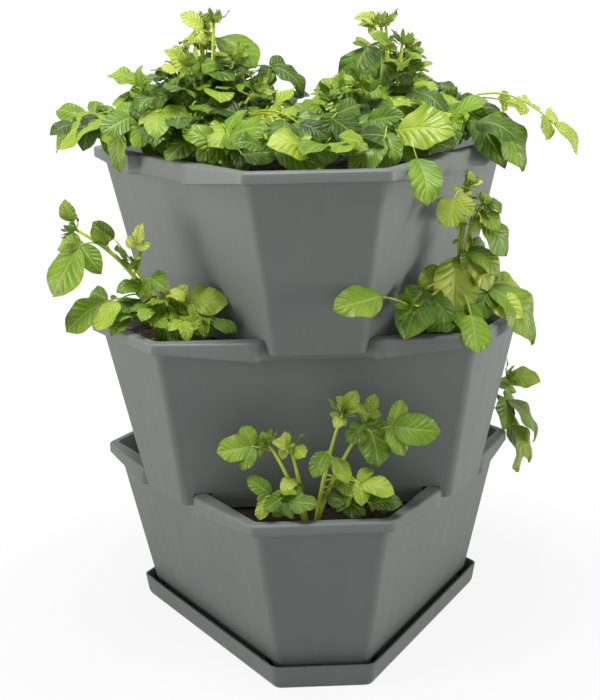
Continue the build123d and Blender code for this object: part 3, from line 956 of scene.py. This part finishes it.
    def finish(self, name):
        mesh = bpy.data.meshes.new(name)
        mesh.from_pydata([v * MM for v in self.verts], [], self.faces)
        flat = [number for place in self.places for number in place]
        mesh.attributes.new("leaf", "FLOAT_VECTOR", "POINT").data.foreach_set("vector", flat)
        mesh.materials.append(STEM)
        mesh.materials.append(LEAF)
        mesh.polygons.foreach_set("material_index", self.slots)
        mesh.polygons.foreach_set("use_smooth", [True] * len(mesh.polygons))
        mesh.update()
        return add_object(name, mesh)


def upper_edges(hand):
    """The rim leaves of an upper plant, with its corner on the left (1) or the right (-1)."""
    return (
        (2, (6 * hand, -74), (140 * hand, -312), 13, 44, (8, 30), 0.36),
        (3, (40 * hand, -84), (200 * hand, -320), 12, 42, (20, 46), 0.20),
        (3, (150 * hand, -318), (207 * hand, -318), 4, 40, (10, 26), 0.55),
    )


# The plants, placed from the middle of a corner's lip at rim height, in millimetres.
# tier, turn: the tub and the direction of its corner. root: where the plant leaves the soil (x, y).
# out: how much the leaves face away from the tower. young: how much lighter they are.
# lean: how straight the stems go to their tips. girth: thickness of the stems.
# stems, shoots: tips (x, y, z).
# leaves: stem, share along it, tip, length of the end leaflet, side pairs.
# canopies: stem, middle (x, y), reach (x, y), height at the edge and in the middle, count,
#     sizes at the edge and in the middle, pull to the front, lightness, partly the leaves' own tone; the
#     low, inner canopies are darker as painted shade.
# edges: stem, first place (x, y), last place (x, y), count, size, range of heights, lightness.
PLANTS = {
    "lower_front": {
        "tier": 0, "turn": -90, "root": (-10, 48), "out": 1.5, "young": 0.08, "lean": 0.4, "girth": 0.75,
        "canopies": (
            (0, (-46, 22), (13, 10), (12, 34), 6, (34, 26), 0.9, 0.42),
            (1, (40, 22), (15, 10), (12, 34), 6, (38, 28), 0.9, 0.42),
        ),
        "stems": ((-30, 40, 68), (24, 36, 105), (47, 40, 90), (-52, 40, 72)),
        "leaves": (
            (3, 0.90, (-106, 35, 68), 36, 1), (2, 0.85, (124, 28, 86), 50, 1),
            (1, 1.00, (38, 25, 132), 30, 2), (1, 0.95, (14, 16, 98), 26, 1),
            (2, 1.00, (60, 20, 52), 36, 1), (2, 1.00, (58, 35, 125), 26, 1),
            (0, 1.00, (-16, 18, 66), 34, 0), (0, 1.00, (-48, 24, 80), 24, 1),
            (0, 0.55, (-40, 18, 28), 30, 0), (0, 0.25, (-50, 24, 2), 36, 0),
            (1, 0.20, (46, 24, -2), 46, 0), (1, 0.35, (40, 18, 22), 30, 0),
            (1, 0.55, (28, 15, 38), 32, 0), (1, 0.60, (-8, 15, 45), 28, 0),
            (3, 1.00, (-58, 30, 90), 24, 1),
        ),
    },
    "lower_right": {
        "tier": 0, "turn": 30, "root": (-33, -42), "out": 1.0, "canopies": (), "young": 0.15,
        "stems": ((37, -48, 62),),
        "leaves": (
            (0, 0.90, (77, -60, 62), 40, 0), (0, 0.85, (51, -45, 42), 30, 0),
            (0, 0.60, (75, -58, -17), 44, 1), (0, 0.66, (60, -46, -62), 36, 1),
            (0, 0.70, (43, -54, 5), 22, 0), (0, 0.45, (66, -60, -45), 30, 0),
        ),
    },
    "middle_left": {
        "tier": 1, "turn": -150, "root": (45, 20), "out": 0.5, "young": 0.11,
        "canopies": (
            (2, (46, -6), (34, 20), (16, 46), 18, (32, 24), 0.5, 0.55),
        ),
        "edges": (
            (2, (18, 8), (62, -26), 5, 26, (4, 20), 0.60),
            (2, (62, -28), (116, -28), 6, 24, (4, 20), 0.75),
        ),
        "stems": ((-39, 2, 109), (21, 0, 66), (57, -2, 26)),
        "leaves": (
            (0, 1.00, (-49, -2, 141), 30, 0), (0, 0.80, (-69, -10, 42), 42, 1),
            (0, 0.75, (-22, -5, 111), 34, 0), (0, 0.60, (4, -5, 92), 26, 0),
            (1, 1.00, (29, -2, 115), 30, 1), (1, 0.90, (-22, 8, 116), 34, 0),
            (1, 0.70, (1, -10, 45), 36, 1), (1, 0.45, (3, -15, 23), 34, 0),
            (0, 0.30, (-55, -8, 3), 44, 1), (0, 0.35, (-21, -20, 5), 30, 0),
            (2, 1.00, (75, -10, 49), 28, 2), (2, 0.80, (117, -20, 31), 40, 1),
            (2, 0.50, (99, -25, -3), 26, 1), (2, 0.60, (57, -30, 3), 26, 2),
            (1, 0.80, (57, -20, 45), 26, 1),
        ),
    },
    "middle_right": {
        "tier": 1, "turn": -30, "root": (-57, 15), "out": 0.5, "young": 0.17,
        "canopies": (
            (0, (-48, -4), (30, 18), (14, 40), 9, (44, 34), 0.7, 0.48),
            (0, (-46, 2), (18, 10), (118, 152), 9, (26, 20), 0.7, 0.82),
        ),
        "stems": ((-42, 8, 146), (-28, 2, 126), (-112, -72, 34)),
        "leaves": (
            (0, 0.92, (-76, -58, 112), 30, 1), (1, 1.00, (-7, 2, 116), 36, 1),
            (1, 0.80, (0, 5, 69), 34, 0), (0, 0.95, (-42, -5, 161), 26, 2),
            (0, 0.80, (-77, -25, 111), 24, 1), (0, 0.45, (-60, -25, 7), 52, 0),
            (0, 0.50, (-7, -2, 51), 46, 1), (0, 0.35, (-97, -25, 46), 30, 1),
            (2, 1.00, (-193, -120, 46), 58, 0), (0, 0.25, (-119, -85, 6), 48, 1),
            (0, 0.30, (-118, -62, 20), 40, 0), (1, 0.30, (28, -12, -24), 60, 1),
            (1, 0.25, (-46, -84, -14), 34, 0), (1, 0.50, (-20, -5, 33), 34, 1),
        ),
    },
    "upper_left": {
        "tier": 2, "turn": 150, "root": (102, -125), "out": 0.0,
        "canopies": (
            (0, (94, -138), (80, 98), (40, 102), 26, (50, 38), 0.4, 0.50),
            (0, (94, -138), (96, 112), (26, 62), 28, (50, 36), 0.6, 0.36),
            (0, (94, -138), (62, 72), (30, 84), 26, (40, 30), 0.2, 0.10),
            (0, (92, -124), (36, 34), (78, 132), 22, (30, 20), 0.4, 0.70),
            (3, (158, -232), (32, 50), (20, 42), 11, (56, 44), 0.7, 0.55),
            (2, (-28, -130), (22, 18), (28, 46), 6, (44, 40), 1.2, 0.36),
            (2, (34, -126), (26, 26), (54, 84), 8, (40, 32), 0.6, 0.45),
            (1, (184, -122), (28, 26), (34, 64), 8, (42, 32), 0.6, 0.48),
        ),
        "shoots": ((110, -152, 136), (130, -168, 98), (84, -172, 92), (152, -196, 66)),
        "edges": upper_edges(1),
        "stems": ((95, -120, 132), (137, -110, 82), (32, -130, 57), (147, -180, 32)),
        "leaves": (
            (0, 1.00, (107, -135, 146), 24, 1), (0, 0.95, (79, -120, 97), 22, 1),
            (0, 0.85, (155, -150, 90), 48, 0), (2, 1.00, (27, -120, 92), 40, 1),
            (2, 0.80, (-5, -130, 52), 42, 0), (2, 0.60, (-69, -140, 2), 60, 1),
            (1, 1.00, (207, -140, 60), 40, 1), (3, 1.00, (207, -230, 22), 70, 0),
            (3, 0.70, (107, -270, -2), 44, 0), (2, 0.50, (57, -232, 4), 46, 0),
            (0, 0.60, (97, -180, 34), 42, 1), (0, 0.50, (29, -160, 38), 46, 1),
            (3, 0.80, (256, -285, 8), 70, 0), (0, 0.70, (117, -60, 82), 44, 1),
            (1, 0.70, (167, -50, 42), 44, 1), (2, 0.70, (17, -50, 42), 46, 1),
            (0, 0.40, (77, -40, 27), 44, 1),
        ),
    },
    "upper_right": {
        "tier": 2, "turn": 30, "root": (-115, -125), "out": 0.0,
        "canopies": (
            (0, (-112, -138), (78, 98), (40, 98), 26, (50, 38), 0.4, 0.50),
            (0, (-112, -138), (96, 112), (26, 62), 28, (50, 36), 0.6, 0.36),
            (0, (-112, -138), (62, 72), (30, 80), 26, (40, 30), 0.2, 0.10),
            (0, (-118, -122), (34, 34), (76, 126), 22, (30, 20), 0.4, 0.70),
            (3, (-137, -232), (34, 50), (20, 42), 11, (56, 44), 0.7, 0.55),
        ),
        "shoots": ((-120, -150, 132), (-104, -164, 110), (-152, -196, 72), (-180, -204, 58)),
        "edges": upper_edges(-1),
        "stems": ((-122, -120, 127), (-95, -125, 107), (-47, -140, 42), (-147, -180, 52)),
        "leaves": (
            (0, 1.00, (-152, -130, 139), 26, 1), (1, 1.00, (-89, -130, 122), 30, 1),
            (0, 0.80, (-167, -155, 50), 48, 0), (0, 0.76, (-132, -168, 58), 42, 0),
            (1, 0.85, (-79, -135, 87), 36, 1), (1, 0.50, (-127, -210, 20), 50, 0),
            (2, 0.80, (-42, -150, 62), 44, 0), (2, 1.00, (-11, -145, 20), 56, 0),
            (2, 0.90, (-17, -165, 14), 48, 0), (3, 0.50, (-109, -260, -2), 40, 0),
            (2, 0.60, (-57, -220, 8), 44, 1), (3, 0.50, (-103, -362, -34), 46, 0),
            (2, 0.80, (6, -186, -22), 54, 0), (2, 0.90, (33, -160, -28), 50, 0),
            (2, 1.00, (93, -150, -13), 30, 2), (2, 1.00, (38, -140, 32), 26, 1),
            (3, 1.00, (-197, -160, 67), 30, 1), (0, 0.70, (-97, -50, 82), 46, 1),
            (1, 0.60, (-57, -45, 47), 46, 1), (0, 0.50, (-157, -40, 42), 44, 1),
            (2, 0.60, (-17, -60, 27), 44, 1),
        ),
    },
}


def grow(name, seed):
    data = PLANTS[name]
    plant = Plant(data, seed)
    plant.grow_stems()
    plant.grow_shoots()
    plant.grow_leaves()
    plant.grow_canopies()
    plant.grow_edges()
    piece = plant.finish(name + "_potato_plant")
    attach(piece, TIERS[data["tier"]])
    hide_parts(name + "_plant")


for number, name in enumerate(PLANTS):
    grow(name, PLANT_SEED + number)


# Studio, in metres

FLOOR_REACH, FLOOR_STEPS = 40.0, 8
# Light of the surroundings on the part; the rays that show them see plain white
SURROUNDINGS = 0.20


def floor():
    form = bmesh.new()
    bmesh.ops.create_grid(form, x_segments=FLOOR_STEPS, y_segments=FLOOR_STEPS, size=FLOOR_REACH)
    mesh = bpy.data.meshes.new("studio_floor")
    form.to_mesh(mesh)
    form.free()
    mesh.materials.append(floor_material())
    piece = add_object("studio_floor", mesh)


def lamp(name, place, aim, size, power, colour, spread=180):
    light = bpy.data.lights.new(name, "AREA")
    light.shape = "RECTANGLE"
    light.size, light.size_y = size
    light.energy = power
    light.color = colour
    light.spread = math.radians(spread)
    piece = add_object(name, light)
    piece.location = place
    piece.rotation_euler = (Vector(aim) - Vector(place)).to_track_quat("-Z", "Y").to_euler()


def surroundings():
    world = bpy.data.worlds.new("studio")
    scene.world = world
    n = Nodes(world)
    sky = n.tree.nodes["Background"]
    n.put(sky.inputs["Color"], (1, 1, 1, 1))
    n.put(sky.inputs["Strength"], n.span(n.seen(), 0.0, 1.0, SURROUNDINGS, 1.0))


floor()
WARM, NEUTRAL, COOL = (1.0, 0.925, 0.85), (1.0, 1.0, 0.97), (0.86, 0.97, 1.0)
lamp("left_softbox", (-2.5, -0.45, 0.6), (0, 0, 0.88), (1.8, 1.2), 8.9, WARM, 54)
lamp("right_softbox", (2.5, -0.45, 0.6), (0, 0, 0.88), (1.8, 1.2), 9.4, WARM, 54)
lamp("top_softbox", (-0.2, -0.5, 2.6), (0, 0, 0.5), (1.0, 1.0), 72, NEUTRAL)
lamp("front_fill", (0.2, -3.0, 0.55), (0, 0, 0.45), (2.2, 0.8), 11, COOL)
surroundings()

# Camera, fitted to the edges of the tubs in the photograph
AZIMUTH, ELEVATION, ROLL = (math.radians(a) for a in (-2.106, 14.132, -1.101))
DISTANCE, AIM = 1.6022, Vector((-0.01084, 0.0, 0.32209))
# Focal length and height of the photograph in pixels, and the camera's sensor in millimetres
FOCAL, PHOTO_HEIGHT, SENSOR = 1378.14, 700, 36.0
level = math.cos(ELEVATION)
back = Vector((math.sin(AZIMUTH) * level, -math.cos(AZIMUTH) * level, math.sin(ELEVATION)))
right = Vector((math.cos(AZIMUTH), math.sin(AZIMUTH), 0.0))
up = back.cross(right)
rolled_right = right * math.cos(ROLL) + up * math.sin(ROLL)
rolled_up = up * math.cos(ROLL) - right * math.sin(ROLL)
facing = Matrix((rolled_right, rolled_up, back)).transposed().to_4x4()
camera = add_object("camera", bpy.data.cameras.new("camera"))
camera.data.sensor_fit = "VERTICAL"
camera.data.sensor_height = SENSOR
camera.data.lens = FOCAL * SENSOR / PHOTO_HEIGHT
camera.data.clip_end = 50
camera.matrix_world = Matrix.Translation(AIM + back * DISTANCE) @ facing
scene.camera = camera
scene.view_settings.view_transform = "Standard"
